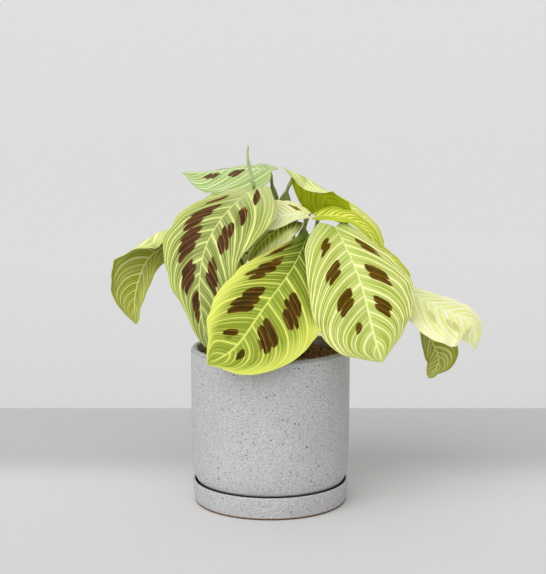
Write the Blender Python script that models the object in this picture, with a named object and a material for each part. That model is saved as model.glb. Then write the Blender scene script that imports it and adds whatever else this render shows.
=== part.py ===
"""Potted prayer plant: a maranta in a straight stoneware pot on its saucer.

Metres, +Z up. The origin is the middle of the saucer's flat underside.
"""
import math

import bmesh
import bpy
import numpy as np

# Driving dimensions, in millimetres until they reach a mesh.
mm = 0.001
gap = 0.3

saucerRadius = 59.3
saucerFoot = 57.3
saucerHeight = 17.0
saucerFloor = 4.0
saucerWaist = (58.7, 6.8)
saucerLip = 1.1
innerBend = 3.0
footBevel = (0.8, 0.9)

potRadius = 60.0
potTop = 118.3
potWall = 5.0
potFloor = 5.7
potFlat = 40.9
cornerHeight = 26.0
drainRadius = 6.0
bodyRadius = 59.4
midRadius = 59.9
midHeight = 60.0
outerLip = 2.2
innerLip = 1.4
innerTaper = 0.4

soilLevel = 111.5
soilRise = 1.0
soilSlope = ((0.75, 0.5), (0.45, 1.0))

bladeThick = 0.5
bladeRows = 10
bladeColumns = 4
tipHalfWidth = 0.6
rollSpan = 0.3
lobeSwell = 1.45

petioleSides = 7
petioleRings = 10
sheathRadius = 2.1
petioleRadius = 1.1
pulvinusRadius = 1.45
sheathTop = 0.6
pulvinusPlace = 0.96
pulvinusSpan = 0.03
wingPlace = 0.74
wingSpan = 0.15

# How a petiole meets its blade: a mix of the blade's upper normal and its direction,
# seated under the base where it is steep enough, or else just short of the base's edge.
usualArrive = np.array((0.75, 0.65))
steepArrive = 0.5
seatInset = 1.5
edgeClear = 1.4
rootPull = 0.5
endPull = 0.22

latheSteps = 48

# Half widths of a blade are given at these fractions of its midrib.
stations = (0.0, 0.06, 0.15, 0.3, 0.45, 0.6, 0.75, 0.87, 0.95, 1.0)

# Each blade, in millimetres and degrees:
#   rib    points of the midrib, from the petiole to the tip
#   face   directions that the upper side looks in, from base to tip
#   left, right   half widths at the stations, the tip's excepted
#   foldL, foldR  rise of each half from the midrib, at base, middle and tip
#   curlL, curlR  further bend towards the margin
#   rollL, rollR  turn of a rolled margin, which starts at rollFrom of the half width
#   lobe   how far the base reaches back past the petiole, as a share of length
#   root   where its petiole leaves the soil, x and y
blades = {
    "front_left": dict(
        rib=((28, -15, 205), (16, -36, 183), (-5, -53, 156), (-25, -65, 130), (-44, -72, 119)),
        face=((0.3, -0.6, 0.8), (0.25, -0.65, 0.7), (0.1, -0.8, 0.6)),
        left=(2, 7, 14, 25, 32, 34, 31, 25, 13), right=(2, 7, 16, 32, 42, 43, 36, 21, 7),
        foldL=10, foldR=(-5, 10, 10), curlL=(-10, -30, -30), curlR=-30, lobe=0.02, root=(8, -20)),
    "front_right": dict(
        rib=((48, -9, 210), (59, -30, 189), (67, -46, 167), (74, -54, 138), (80, -58, 118)),
        face=((0.1, -0.6, 0.8), (0.1, -0.8, 0.6), (0.1, -0.9, 0.4)),
        left=(13, 22, 30, 36, 39, 41, 38, 28, 13), right=(8, 14, 19, 27, 35, 36, 30, 20, 8),
        foldL=10, foldR=10, curlL=-30, curlR=-30, lobe=(0.06, 0.03), root=(20, -12)),
    "left": dict(
        rib=((-17, 0, 235), (-34, -11, 219), (-47, -20, 197), (-52, -25, 170), (-50, -26, 142),
             (-46, -24, 121)),
        face=((-0.3, -0.6, 0.8), (-0.4, -0.75, 0.5), (-0.3, -0.85, 0.3)),
        left=(10, 16, 25, 39, 38, 28, 15, 9, 5), right=(15, 31, 38, 36, 30, 27, 21, 12, 4),
        foldL=8, foldR=8, curlL=-30, curlR=-40, lobe=(0.01, 0.11), root=(-10, -2),
        arrive=(-0.15, -0.05, 1)),
    "top_left": dict(
        rib=((1, 31, 249), (-16, 38, 250), (-35, 50, 248), (-53, 62, 245), (-70, 74, 244)),
        face=((0.1, -0.75, 0.8),),
        left=(8, 16, 22, 24, 24, 17, 10, 6, 3), right=(12, 20, 26, 27, 26, 23, 16, 8, 3),
        foldL=-34, foldR=0, curlL=0, curlR=-15, lobe=0.03, root=(6, 17), arrive=(-0.15, 0, 1),
        wing=3),
    "top_right": dict(
        rib=((16, 4, 246), (30, 6, 238), (42, 8, 229), (52, 11, 219), (58, 14, 209)),
        face=((0.3, 0.7, 0.6),),
        left=(6, 10, 14, 15, 14, 13, 12, 8, 4), right=(3, 6, 11, 17, 20, 18, 14, 9, 4),
        foldL=10, foldR=-5, rollL=(-40, -140, -30, 0, 0), rollFrom=0.3, lobe=(0.25, 0),
        root=(22, 8), arrive=(0.55, 0.05, 0.83), wing=4.5),
    "right_high": dict(
        rib=((46, 26, 231), (63, 28, 220), (79, 30, 206), (87, 31, 190)),
        face=((0.2, -0.5, 0.85), (0.35, -0.5, 0.75)),
        left=(5, 8, 9, 9, 9, 10, 11, 9, 5), right=(3, 4, 5, 6, 6, 6, 6, 5, 4),
        foldL=10, foldR=0, root=(20, 15)),
    "right": dict(
        rib=((34.4, -2, 217), (46, -5, 218), (60, -3, 215), (72, -3, 206), (82, -5, 191)),
        face=((0, -0.5, 0.85), (0.3, -0.5, 0.8)),
        left=(3, 5, 6, 7, 6, 6, 6, 5, 3), right=(4, 8, 11, 11, 9, 8, 8, 6, 3),
        foldL=8, foldR=8, root=(19, -4), arrive=(0.2, -0.2, 0.95), wing=2),
    "inner_left": dict(
        rib=((28, -3, 218), (17, -6, 219), (5, -10, 217), (-5, -14, 214), (-11, -17, 211)),
        face=((0.1, -0.7, 0.75),),
        left=(3, 6, 9, 13, 15, 14, 11, 7, 3), right=(2, 3, 4, 6, 8, 9, 9, 6, 3),
        foldL=10, foldR=0, root=(12, 2), arrive=(0.1, -0.2, 0.95), wing=3),
    "far_left": dict(
        rib=((-72, 22, 196), (-91, 12, 185), (-99, 4, 168), (-102, 0, 152), (-101, -4, 136)),
        face=((-0.3, 0.9, 0.4),),
        left=(8, 10, 11, 11, 10, 9, 7, 4, 3), right=(14, 20, 25, 26, 27, 24, 18, 10, 4),
        foldL=-10, foldR=5, curlL=-40, rollR=(-40, -140, -10, 0, 0), rollFrom=0.45, lobe=0,
        root=(-24, -2), arrive=(-0.8, 0.1, 0.5)),
    "far_right": dict(
        rib=((96, -16, 168), (112, -18, 158), (129, -20, 149), (145, -20, 142), (151, -20, 135),
             (152, -20, 120)),
        face=((0.1, -0.6, 0.8), (0.3, -0.7, 0.6)),
        left=(8, 14, 20, 27, 30, 29, 24, 14, 5), right=(4, 5, 8, 12, 16, 17, 13, 7, 3),
        foldL=5, foldR=-5, root=(24, -4)),
    "far_right_low": dict(
        rib=((113, 4, 139), (122, 0, 122), (127, -2, 107), (120, -2, 94)),
        face=((0.1, 0.8, 0.3),),
        left=(4, 6, 8, 11, 17, 17, 10, 4, 3), right=(2, 3, 4, 7, 9, 10, 9, 7, 4),
        foldL=0, foldR=0, root=(27, 4)),
    "right_edge": dict(
        rib=((68, 15, 197), (80, 13, 191), (92, 10, 180), (101, 5, 166), (106, 1, 151)),
        face=((0.4, -0.4, 0.8),),
        left=(3, 5, 8, 12, 13, 12, 10, 7, 4), right=(3, 5, 7, 9, 10, 11, 9, 6, 3),
        foldL=10, foldR=10, root=(26, 12)),
    "left_behind": dict(
        rib=((-24, 18, 226), (-43, 18, 223), (-56, 21, 213), (-60, 24, 198), (-60, 26, 182)),
        face=((-0.5, -0.3, 0.8),),
        left=(6, 12, 16, 19, 19, 17, 13, 8, 4), right=(6, 12, 16, 19, 19, 17, 13, 8, 4),
        foldL=10, foldR=10, root=(-18, 8)),
    "inner_low": dict(
        rib=((20, 1, 213), (10, -4, 211), (1, -8, 205), (-8, -12, 197), (-16, -15, 185)),
        face=((-0.2, -0.7, 0.6),),
        left=(3, 4, 5, 6, 6, 6, 5, 4, 3), right=(4, 8, 11, 13, 13, 12, 10, 6, 3),
        foldL=10, foldR=(10, -20, -20), root=(10, -13), arrive=(0.1, -0.1, 1)),
    "back_left": dict(
        rib=((-15, 28, 196), (-31, 53, 194), (-42, 76, 180), (-47, 90, 158), (-49, 96, 134)),
        face=((-0.2, 0.3, 0.9), (-0.3, 0.9, 0.3)),
        left=(12, 21, 28, 33, 34, 31, 24, 14, 6), right=(12, 19, 24, 28, 29, 27, 22, 13, 6),
        foldL=10, foldR=10, root=(-8, 22)),
    "back_right": dict(
        rib=((20, 36, 186), (30, 60, 186), (38, 82, 174), (42, 95, 152), (42, 99, 128)),
        face=((0.2, 0.3, 0.9), (0.3, 0.9, 0.3)),
        left=(12, 20, 26, 30, 31, 29, 22, 13, 6), right=(12, 20, 26, 31, 32, 29, 22, 13, 6),
        foldL=10, foldR=10, root=(4, 22)),
    "right_behind": dict(
        rib=((38, 36, 174), (58, 48, 172), (78, 55, 162), (90, 62, 141), (92, 64, 121)),
        face=((0.3, 0.3, 0.9), (0.7, 0.6, 0.3)),
        left=(10, 16, 22, 26, 27, 25, 19, 11, 5), right=(10, 16, 22, 26, 27, 25, 19, 11, 5),
        foldL=10, foldR=10, root=(16, 24)),
    "left_low": dict(
        rib=((-24, 26, 184), (-40, 38, 182), (-52, 46, 168), (-57, 48, 146), (-55, 48, 126)),
        face=((-0.3, 0.2, 0.9), (-0.8, 0.4, 0.3)),
        left=(8, 13, 17, 20, 21, 19, 15, 9, 4), right=(8, 13, 17, 20, 21, 19, 15, 9, 4),
        foldL=10, foldR=10, root=(-22, 15)),
}

# The rolled new leaf stands on a petiole of its own.
spikeRib = ((-12.5, 4, 239), (-15, 4, 249), (-17, 4, 261), (-16.5, 4, 269.5))
spikeBase = 1.9
spikeTip = 0.7
spikeRoot = (-5, 5)
spikeRings = 8
spikeSides = 9
spikePull = 0.4


def clearScene():
    for item in list(bpy.data.objects):
        bpy.data.objects.remove(item, do_unlink=True)


def material(name, colour, roughness, subsurface=0.0):
    made = bpy.data.materials.new(name)
    made.use_nodes = True
    shader = made.node_tree.nodes["Principled BSDF"]
    shader.inputs["Base Color"].default_value = (*colour, 1.0)
    shader.inputs["Roughness"].default_value = roughness
    shader.inputs["Metallic"].default_value = 0.0
    shader.inputs["Subsurface Weight"].default_value = subsurface
    made.diffuse_color = (*colour, 1.0)
    return made


def addObject(name, mesh, look):
    made = bpy.data.objects.new(name, mesh)
    made.data.materials.append(look)
    bpy.context.scene.collection.objects.link(made)
    return made


def meshFromFaces(name, points, faces):
    """A mesh from points in millimetres, with its normals turned outwards."""
    mesh = bpy.data.meshes.new(name)
    mesh.from_pydata([tuple(np.asarray(p) * mm) for p in points], [], faces)
    work = bmesh.new()
    work.from_mesh(mesh)
    bmesh.ops.recalc_face_normals(work, faces=work.faces)
    work.to_mesh(mesh)
    work.free()
    return mesh


# Smooth values along a blade

def unit(vector):
    return vector / max(np.linalg.norm(vector), 1e-9)


def smoothThrough(values, place):
    """Catmull-Rom through the values, where place runs from 0 to their last index."""
    last = len(values) - 1
    place = min(max(place, 0.0), float(last))
    k = min(int(place), last - 1)
    t = place - k
    b, c = values[k], values[k + 1]
    a = values[k - 1] if k > 0 else 2 * b - c
    d = values[k + 2] if k + 2 <= last else 2 * c - b
    return 0.5 * (2*b + (c - a)*t + (2*a - 5*b + 4*c - d)*t**2 + (3*b - a - 3*c + d)*t**3)


def widthAt(widths, s):
    """Hermite curve through the half widths at the stations."""
    widths = list(widths) + [tipHalfWidth]
    last = len(stations) - 1
    k = 0
    while k < last - 1 and s > stations[k + 1]:
        k += 1
    span = stations[k + 1] - stations[k]
    t = (s - stations[k]) / span

    def slope(i):
        low, high = max(i - 1, 0), min(i + 1, last)
        return (widths[high] - widths[low]) / (stations[high] - stations[low])

    return ((2*t**3 - 3*t**2 + 1) * widths[k] + (t**3 - 2*t**2 + t) * span * slope(k)
            + (3*t**2 - 2*t**3) * widths[k + 1] + (t**3 - t**2) * span * slope(k + 1))


def blendAt(values, s):
    """A single number, or a straight blend through numbers evenly spaced from base to tip."""
    if not isinstance(values, tuple):
        return float(values)
    place = s * (len(values) - 1)
    k = min(int(place), len(values) - 2)
    t = place - k
    return values[k] * (1 - t) + values[k + 1] * t


def evenCurve(points, count=200):
    """Dense points of a smooth curve, with the distance run at each."""
    values = [np.array(p, float) for p in points]
    last = len(values) - 1
    dense = np.array([smoothThrough(values, last * k / count) for k in range(count + 1)])
    steps = np.linalg.norm(np.diff(dense, axis=0), axis=1)
    return dense, np.concatenate([[0.0], np.cumsum(steps)])


def pointAlong(curve, distance):
    dense, run = curve
    return np.array([np.interp(distance, run, dense[:, k]) for k in range(3)])


def bladeFrame(spec, curve, s):
    """Place, direction, upper normal and left-hand side at a fraction s of the midrib."""
    length = curve[1][-1]
    reach = 0.02 * length
    ahead = pointAlong(curve, s * length + reach)
    behind = pointAlong(curve, s * length - reach)
    along = unit(ahead - behind)
    faces = [unit(np.array(f, float)) for f in spec["face"]]
    face = faces[0] if len(faces) == 1 else smoothThrough(faces, s * (len(faces) - 1))
    up = unit(face - along * np.dot(face, along))
    return pointAlong(curve, s * length), along, up, np.cross(along, up)


def halfRow(spec, curve, s, side, columns):
    """Points from the midrib's neighbour to the margin on one side, +1 left or -1 right."""
    letter = "L" if side > 0 else "R"
    place, along, up, left = bladeFrame(spec, curve, s)
    width = widthAt(spec["left" if side > 0 else "right"], s)
    fold = math.radians(blendAt(spec.get("fold" + letter, 8), s))
    curl = math.radians(blendAt(spec.get("curl" + letter, -20), s))
    roll = math.radians(blendAt(spec.get("roll" + letter, 0), s))
    rollFrom = spec.get("rollFrom", 0.6)
    lobe = spec.get("lobe", 0.07)
    lobe = lobe[0 if side > 0 else 1] if isinstance(lobe, tuple) else lobe
    reach = lobe * curve[1][-1] * max(1 - 2.2 * s, 0)**1.5
    parts = 10
    steps = columns * parts
    out, rise, row = 0.0, 0.0, []
    for j in range(1, steps + 1):
        a = (j - 0.5) / steps
        angle = fold + curl * a**2 + roll * min(max(a - rollFrom, 0) / rollSpan, 1)
        out += math.cos(angle) * width / steps
        rise += math.sin(angle) * width / steps
        if j % parts == 0:
            share = j / steps
            back = reach * lobeSwell * share**1.2 * (1 - 0.5 * share**3)
            row.append(place + left * side * out + up * rise - along * back)
    return place, row


def bladeGrid(spec, rows, columns):
    curve = evenCurve(spec["rib"])
    grid = []
    for i in range(rows + 1):
        even = i / rows
        s = 0.6 * (0.5 - 0.5 * math.cos(math.pi * even)) + 0.4 * even
        place, left = halfRow(spec, curve, s, 1, columns)
        place, right = halfRow(spec, curve, s, -1, columns)
        grid.append(right[::-1] + [place] + left)
    return np.array(grid)


def gridNormals(grid):
    down = np.gradient(grid, axis=0)
    across = np.gradient(grid, axis=1)
    normals = np.cross(across, down)
    return normals / np.maximum(np.linalg.norm(normals, axis=2, keepdims=True), 1e-9)


def shellFaces(rows, columns):
    """Quads of a closed shell whose upper and lower sheets are rows x columns of points."""
    below = rows * columns
    faces = []
    for i in range(rows - 1):
        for j in range(columns - 1):
            a = i * columns + j
            faces.append((a, a + 1, a + 1 + columns, a + columns))
            faces.append((a + below, a + columns + below, a + columns + 1 + below, a + 1 + below))
    edge = list(range(columns))
    edge += [i * columns + columns - 1 for i in range(1, rows)]
    edge += [(rows - 1) * columns + j for j in range(columns - 2, -1, -1)]
    edge += [i * columns for i in range(rows - 2, 0, -1)]
    for a, b in zip(edge, edge[1:] + edge[:1]):
        faces.append((a, a + below, b + below, b))
    return faces


def makeBlade(name, spec, look):
    grid = bladeGrid(spec, bladeRows, bladeColumns)
    normals = gridNormals(grid)
    half = bladeThick / 2
    rows, columns = grid.shape[:2]
    upper = (grid + normals * half).reshape(-1, 3)
    lower = (grid - normals * half).reshape(-1, 3)
    mesh = meshFromFaces(name, list(upper) + list(lower), shellFaces(rows, columns))
    return addObject(name, mesh, look)


# Petioles

def bezier(a, b, c, d, t):
    return a*(1 - t)**3 + 3*b*t*(1 - t)**2 + 3*c*t**2*(1 - t) + d*t**3


def petioleRoute(spec):
    """Four handles of the petiole, from the soil to just short of the blade's base."""
    curve = evenCurve(spec["rib"])
    place, along, up, left = bladeFrame(spec, curve, 0.0)
    arrive = unit(np.array(spec.get("arrive", usualArrive @ np.array((up, along))), float))
    clear = bladeThick / 2 + gap
    rise = abs(np.dot(arrive, up))
    if rise > steepArrive:
        tilt = math.sqrt(1 - rise**2)
        end = place + along * seatInset - arrive * (clear + pulvinusRadius * tilt) / rise
    else:
        end = place - arrive * edgeClear * clear
    start = np.array((*spec["root"], soilLevel + soilRise + 2 * gap), float)
    reach = np.linalg.norm(end - start)
    first = start + np.array((0, 0, rootPull * reach))
    second = end - arrive * endPull * reach
    return start, first, second, end


def petioleRadiusAt(t):
    """Radius at a fraction t of the way up: a sheath below, a swollen joint at the blade."""
    sheath = sheathRadius + (petioleRadius - sheathRadius) * min(t / sheathTop, 1.0)
    swell = (pulvinusRadius - petioleRadius) * math.exp(-((t - pulvinusPlace) / pulvinusSpan)**2)
    return sheath + swell


def wingAt(wing, t):
    """How far a winged sheath stands out on either side of its petiole."""
    return wing * max(1 - ((t - wingPlace) / wingSpan)**2, 0)


def tubeMesh(name, centres, radii, sides, wings=None):
    """A closed tube round the centres, widened by its wings along a frame without twist."""
    centres = [np.array(c, float) for c in centres]
    points = []
    side = None
    for k, centre in enumerate(centres):
        ahead = centres[min(k + 1, len(centres) - 1)]
        behind = centres[max(k - 1, 0)]
        along = unit(ahead - behind)
        start = side if side is not None else np.array((1.0, 0.0, 0.0))
        side = unit(start - along * np.dot(start, along))
        other = np.cross(along, side)
        wide = radii[k] + (wings[k] if wings else 0)
        for j in range(sides):
            turn = 2 * math.pi * j / sides
            points.append(centre + wide * math.cos(turn) * side + radii[k] * math.sin(turn) * other)
    faces = []
    for k in range(len(centres) - 1):
        for j in range(sides):
            a, b = k * sides + j, k * sides + (j + 1) % sides
            faces.append((a, b, b + sides, a + sides))
    faces.append(tuple(reversed(range(sides))))
    faces.append(tuple(range((len(centres) - 1) * sides, len(centres) * sides)))
    return meshFromFaces(name, points, faces)


def makePetiole(name, handles, look, wing=0):
    params = [k / (petioleRings - 1) for k in range(petioleRings)]
    centres = [bezier(*handles, t) for t in params]
    radii = [petioleRadiusAt(t) for t in params]
    wings = [wingAt(wing, t) for t in params]
    return addObject(name, tubeMesh(name, centres, radii, petioleSides, wings), look)


def makeSpike(look):
    curve = evenCurve(spikeRib)
    shares = [k / spikeRings for k in range(spikeRings + 1)]
    centres = [pointAlong(curve, curve[1][-1] * t) for t in shares]
    radii = [spikeBase + (spikeTip - spikeBase) * t for t in shares]
    return addObject("new_leaf", tubeMesh("new_leaf", centres, radii, spikeSides), look)


def makeSpikePetiole(look):
    end = np.array(spikeRib[0], float) - np.array((0, 0, 2 * gap))
    start = np.array((*spikeRoot, soilLevel + soilRise + 2 * gap), float)
    pull = np.array((0, 0, spikePull * (end[2] - start[2])))
    return makePetiole("petiole_new_leaf", (start, start + pull, end - pull, end), look)


# Pot, saucer and soil

def lathe(name, profile, look):
    """Spin a closed outline of (radius, height) in millimetres about the Z axis."""
    work = bmesh.new()
    rim = [work.verts.new((r * mm, 0.0, z * mm)) for r, z in profile]
    edges = [work.edges.new((a, b)) for a, b in zip(rim, rim[1:] + rim[:1])
             if not (a.co.x == 0 and b.co.x == 0)]
    bmesh.ops.spin(work, geom=rim + edges, cent=(0, 0, 0), axis=(0, 0, 1),
                   angle=2 * math.pi, steps=latheSteps, use_duplicate=False)
    bmesh.ops.remove_doubles(work, verts=work.verts, dist=1e-6)
    bmesh.ops.recalc_face_normals(work, faces=work.faces)
    mesh = bpy.data.meshes.new(name)
    work.to_mesh(mesh)
    work.free()
    return addObject(name, mesh, look)


def arc(centreR, centreZ, radiusR, radiusZ, fromDegrees, toDegrees, count):
    turns = [math.radians(fromDegrees + (toDegrees - fromDegrees) * k / count) for k in range(count + 1)]
    return [(centreR + radiusR * math.cos(t), centreZ + radiusZ * math.sin(t)) for t in turns]


def saucerProfile():
    lip = saucerLip
    inner = saucerRadius - 2 * lip
    bevelWide, bevelHigh = footBevel
    outline = [(0.0, 0.0), (saucerFoot - bevelWide, 0.0), (saucerFoot, bevelHigh), saucerWaist]
    outline += arc(saucerRadius - lip, saucerHeight - lip, lip, lip, 0, 180, 6)
    low = inner - innerTaper
    outline += [(low, saucerHeight / 2)]
    outline += arc(low - innerBend, saucerFloor + innerBend, innerBend, innerBend, 0, -90, 4)
    outline += [(0.0, saucerFloor)]
    return outline


def potProfile():
    base = saucerFloor + gap
    corner = base + cornerHeight
    shoulder = bodyRadius - potFlat
    inside = potRadius - potWall
    floor = base + potFloor
    outline = [(drainRadius, base)]
    outline += arc(potFlat, corner, shoulder, cornerHeight, -90, 0, 9)
    outline += [(midRadius, midHeight)]
    outline += arc(potRadius - outerLip, potTop - outerLip, outerLip, outerLip, 0, 90, 4)
    outline += arc(inside + innerLip, potTop - innerLip, innerLip, innerLip, 90, 180, 3)
    outline += [(inside, midHeight)]
    outline += arc(potFlat, corner, inside - potFlat - innerTaper, corner - floor, 0, -90, 7)
    outline += [(drainRadius, floor)]
    return outline


def soilProfile():
    base = saucerFloor + gap
    corner = base + cornerHeight
    inside = potRadius - potWall - gap
    floor = base + potFloor + gap
    outline = [(0.0, floor)]
    outline += arc(potFlat, corner, inside - potFlat - innerTaper, corner - floor, -90, 0, 7)
    outline += [(inside, midHeight), (inside, soilLevel)]
    outline += [(inside * place, soilLevel + soilRise * rise) for place, rise in soilSlope]
    outline += [(0.0, soilLevel + soilRise)]
    return outline


def build():
    clearScene()
    glaze = material("speckled_stoneware", (0.53, 0.53, 0.52), 0.62)
    earth = material("potting_mix", (0.075, 0.04, 0.025), 0.95)
    green = material("leaf_green", (0.42, 0.55, 0.12), 0.45, 0.1)
    stalk = material("petiole_green", (0.16, 0.2, 0.07), 0.5)
    young = material("young_leaf_green", (0.4, 0.52, 0.2), 0.45)
    lathe("saucer", saucerProfile(), glaze)
    lathe("pot", potProfile(), glaze)
    lathe("soil", soilProfile(), earth)
    for name, spec in blades.items():
        makeBlade("blade_" + name, spec, green)
        makePetiole("petiole_" + name, petioleRoute(spec), stalk, spec.get("wing", 0))
    makeSpike(young)
    makeSpikePetiole(stalk)


build()
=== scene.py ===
import math
import random

import bmesh
import bpy
import numpy as np
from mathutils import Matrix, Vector, noise


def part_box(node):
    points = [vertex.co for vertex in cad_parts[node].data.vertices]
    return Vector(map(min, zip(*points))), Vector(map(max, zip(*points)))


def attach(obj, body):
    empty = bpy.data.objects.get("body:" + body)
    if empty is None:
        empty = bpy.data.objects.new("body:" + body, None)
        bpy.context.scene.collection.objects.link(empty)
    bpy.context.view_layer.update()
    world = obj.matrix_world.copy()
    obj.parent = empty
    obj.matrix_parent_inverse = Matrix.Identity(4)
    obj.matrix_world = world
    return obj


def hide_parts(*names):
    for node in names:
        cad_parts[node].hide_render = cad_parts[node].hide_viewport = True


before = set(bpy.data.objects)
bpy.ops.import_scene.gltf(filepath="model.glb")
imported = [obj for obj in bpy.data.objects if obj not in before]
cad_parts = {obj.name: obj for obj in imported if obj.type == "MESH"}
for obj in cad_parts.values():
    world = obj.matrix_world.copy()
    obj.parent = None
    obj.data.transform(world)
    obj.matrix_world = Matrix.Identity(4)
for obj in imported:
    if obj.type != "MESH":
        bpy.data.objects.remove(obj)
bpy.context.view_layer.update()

mm = 0.001
gap = 0.3  # clear space between neighbouring pieces, in millimetres


# small tools for node materials

def lightOf(colour):
    # display levels from 0 to 255, as linear light
    shares = [level / 255 for level in colour]
    return (*[s / 12.92 if s < 0.04045 else ((s + 0.055) / 1.055)**2.4 for s in shares], 1.0)


def newMaterial(name, roughness, specular=0.5):
    made = bpy.data.materials.new(name)
    made.use_nodes = True
    shader = made.node_tree.nodes["Principled BSDF"]
    shader.inputs["Roughness"].default_value = roughness
    shader.inputs["Specular IOR Level"].default_value = specular
    return made, made.node_tree, shader


class Wire:
    # an output socket that can be reckoned with like a number
    def __init__(self, socket):
        self.socket = socket

    def __add__(self, other):
        return calc("ADD", self, other)

    def __sub__(self, other):
        return calc("SUBTRACT", self, other)

    def __rsub__(self, other):
        return calc("SUBTRACT", other, self)

    def __mul__(self, other):
        return calc("MULTIPLY", self, other)

    def __pow__(self, other):
        return calc("POWER", self, other)

    def __abs__(self):
        return calc("ABSOLUTE", self)


def treeOf(*values):
    # the tree that the wires among these values belong to
    return next(value.socket.id_data for value in values if isinstance(value, Wire))


def feed(socket, value):
    if isinstance(value, Wire):
        socket.id_data.links.new(value.socket, socket)
    else:
        socket.default_value = value


def nodeOf(kind, tree, inputs, **settings):
    # a new node, with its inputs by name or number
    made = tree.nodes.new(kind)
    for setting, value in settings.items():
        setattr(made, setting, value)
    for key, value in inputs.items():
        feed(made.inputs[key], value)
    return made


def calc(operation, *values):
    made = nodeOf("ShaderNodeMath", treeOf(*values), dict(enumerate(values)), operation=operation)
    return Wire(made.outputs[0])


def highest(first, *others):
    for other in others:
        first = calc("MAXIMUM", first, other)
    return first


def ease(value, start, end, low=0.0, high=1.0):
    # smooth step from low at start to high at end
    inputs = dict(enumerate((value, start, end, low, high)))
    made = nodeOf("ShaderNodeMapRange", treeOf(value), inputs, interpolation_type="SMOOTHSTEP")
    return Wire(made.outputs[0])


def blend(share, first, second, mode="MIX"):
    # between two colours, each a wire or a tuple of display levels
    tree = treeOf(share, first, second)
    first, second = [lightOf(c) if isinstance(c, tuple) else c for c in (first, second)]
    inputs = {0: share, 6: first, 7: second}
    return Wire(nodeOf("ShaderNodeMix", tree, inputs, data_type="RGBA", blend_type=mode).outputs[2])


def darken(colour, share):
    # the colour times a grey of this share
    return blend(1.0, colour, blend(share, (0, 0, 0), (255, 255, 255)), "MULTIPLY")


def noiseOf(vector, scale, detail=2.0, roughness=0.5):
    inputs = {"Vector": vector, "Scale": scale, "Detail": detail, "Roughness": roughness}
    return Wire(nodeOf("ShaderNodeTexNoise", treeOf(vector), inputs).outputs["Fac"])


def split(vector, kind="ShaderNodeSeparateXYZ"):
    return [Wire(output) for output in nodeOf(kind, treeOf(vector), {0: vector}).outputs]


def joined(x, y):
    return Wire(nodeOf("ShaderNodeCombineXYZ", treeOf(x, y), {0: x, 1: y}).outputs[0])


def attributeOf(tree, name):
    return Wire(nodeOf("ShaderNodeAttribute", tree, {}, attribute_name=name).outputs["Fac"])


def objectPlace(tree):
    return Wire(tree.nodes.new("ShaderNodeTexCoord").outputs["Object"])


def uprightStreaks(tree, scale, stretch):
    drawn = nodeOf("ShaderNodeMapping", tree, {"Vector": objectPlace(tree), "Scale": (1, 1, stretch)})
    return noiseOf(Wire(drawn.outputs[0]), scale, 3.0)


def bump(shader, height, distance, strength):
    inputs = {"Strength": strength, "Distance": distance, "Height": height}
    made = nodeOf("ShaderNodeBump", shader.id_data, inputs)
    feed(shader.inputs["Normal"], Wire(made.outputs["Normal"]))


def glowThrough(shader, weight, scale, radius=None):
    # light that soaks into leaf and stem
    shader.inputs["Subsurface Weight"].default_value = weight
    shader.inputs["Subsurface Scale"].default_value = scale
    if radius:
        shader.inputs["Subsurface Radius"].default_value = radius


# small tools for meshes

def unit(vector):
    return vector / max(np.linalg.norm(vector), 1e-9)


def addObject(name, data, look=None):
    made = bpy.data.objects.new(name, data)
    if look:
        data.materials.append(look)
    bpy.context.scene.collection.objects.link(made)
    return made


def finishMesh(name, work, look, sharp):
    # normals turned outwards, smooth but for edges sharper than this many degrees
    bmesh.ops.recalc_face_normals(work, faces=work.faces)
    mesh = bpy.data.meshes.new(name)
    work.to_mesh(mesh)
    work.free()
    mesh.shade_smooth()
    mesh.set_sharp_from_angle(angle=math.radians(sharp))
    return addObject(name, mesh, look)


def addMesh(name, points, faces, look, sharp=50):
    # points in millimetres
    plain = bpy.data.meshes.new(name + "_plain")
    plain.from_pydata((np.asarray(points, float) * mm).tolist(), [], faces)
    work = bmesh.new()
    work.from_mesh(plain)
    bpy.data.meshes.remove(plain)
    return finishMesh(name, work, look, sharp)


def markPoints(mesh, name, values):
    # a number on every point, for the materials
    made = mesh.attributes.new(name, "FLOAT", "POINT")
    made.data.foreach_set("value", np.asarray(values, np.float32))


def settle(piece, slotName, *nodes):
    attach(piece, "root")
    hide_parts(*nodes)


# Half widths of a blade are given at these fractions of its midrib.
stations = (0.0, 0.06, 0.15, 0.3, 0.45, 0.6, 0.75, 0.87, 0.95, 1.0)

leafMake = dict(
    rows=110, columns=34,  # quads along the midrib and across each half
    crowding=0.35,  # how far the rows gather at base and tip
    thick=0.36, tipHalfWidth=0.6,
    ribDepth=0.7, ribSpan=1.1, ribGroove=0.35, ribTaper=0.75,
    foldBy=10, curlBy=-20,  # degrees, where a blade gives none of its own
    rollFrom=0.6, rollSpan=0.3, lobe=0.07, lobeSwell=1.45, lobeEnd=2.2,
    veins=12.0, veinSweep=0.185, sweepReach=0.93,  # laterals sweep forward to the margin
    quilt=0.22, wave=0.9, waveCount=4.5,
    usualHalf=35,  # half width for which quilt and wave are stated
    firstSeed=11,
)

# The spots on a leaf's left and right. Each is given by its lateral's place, half its breadth
# across the laterals, its place between midrib and margin, and half its length that way.
usualSpots = (((0.06, 0.04, 0.50, 0.14), (0.27, 0.06, 0.45, 0.18), (0.50, 0.07, 0.38, 0.18),
               (0.70, 0.04, 0.28, 0.13)),
              ((0.09, 0.05, 0.52, 0.16), (0.35, 0.07, 0.41, 0.19), (0.57, 0.06, 0.34, 0.18),
               (0.77, 0.03, 0.26, 0.11)))

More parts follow.
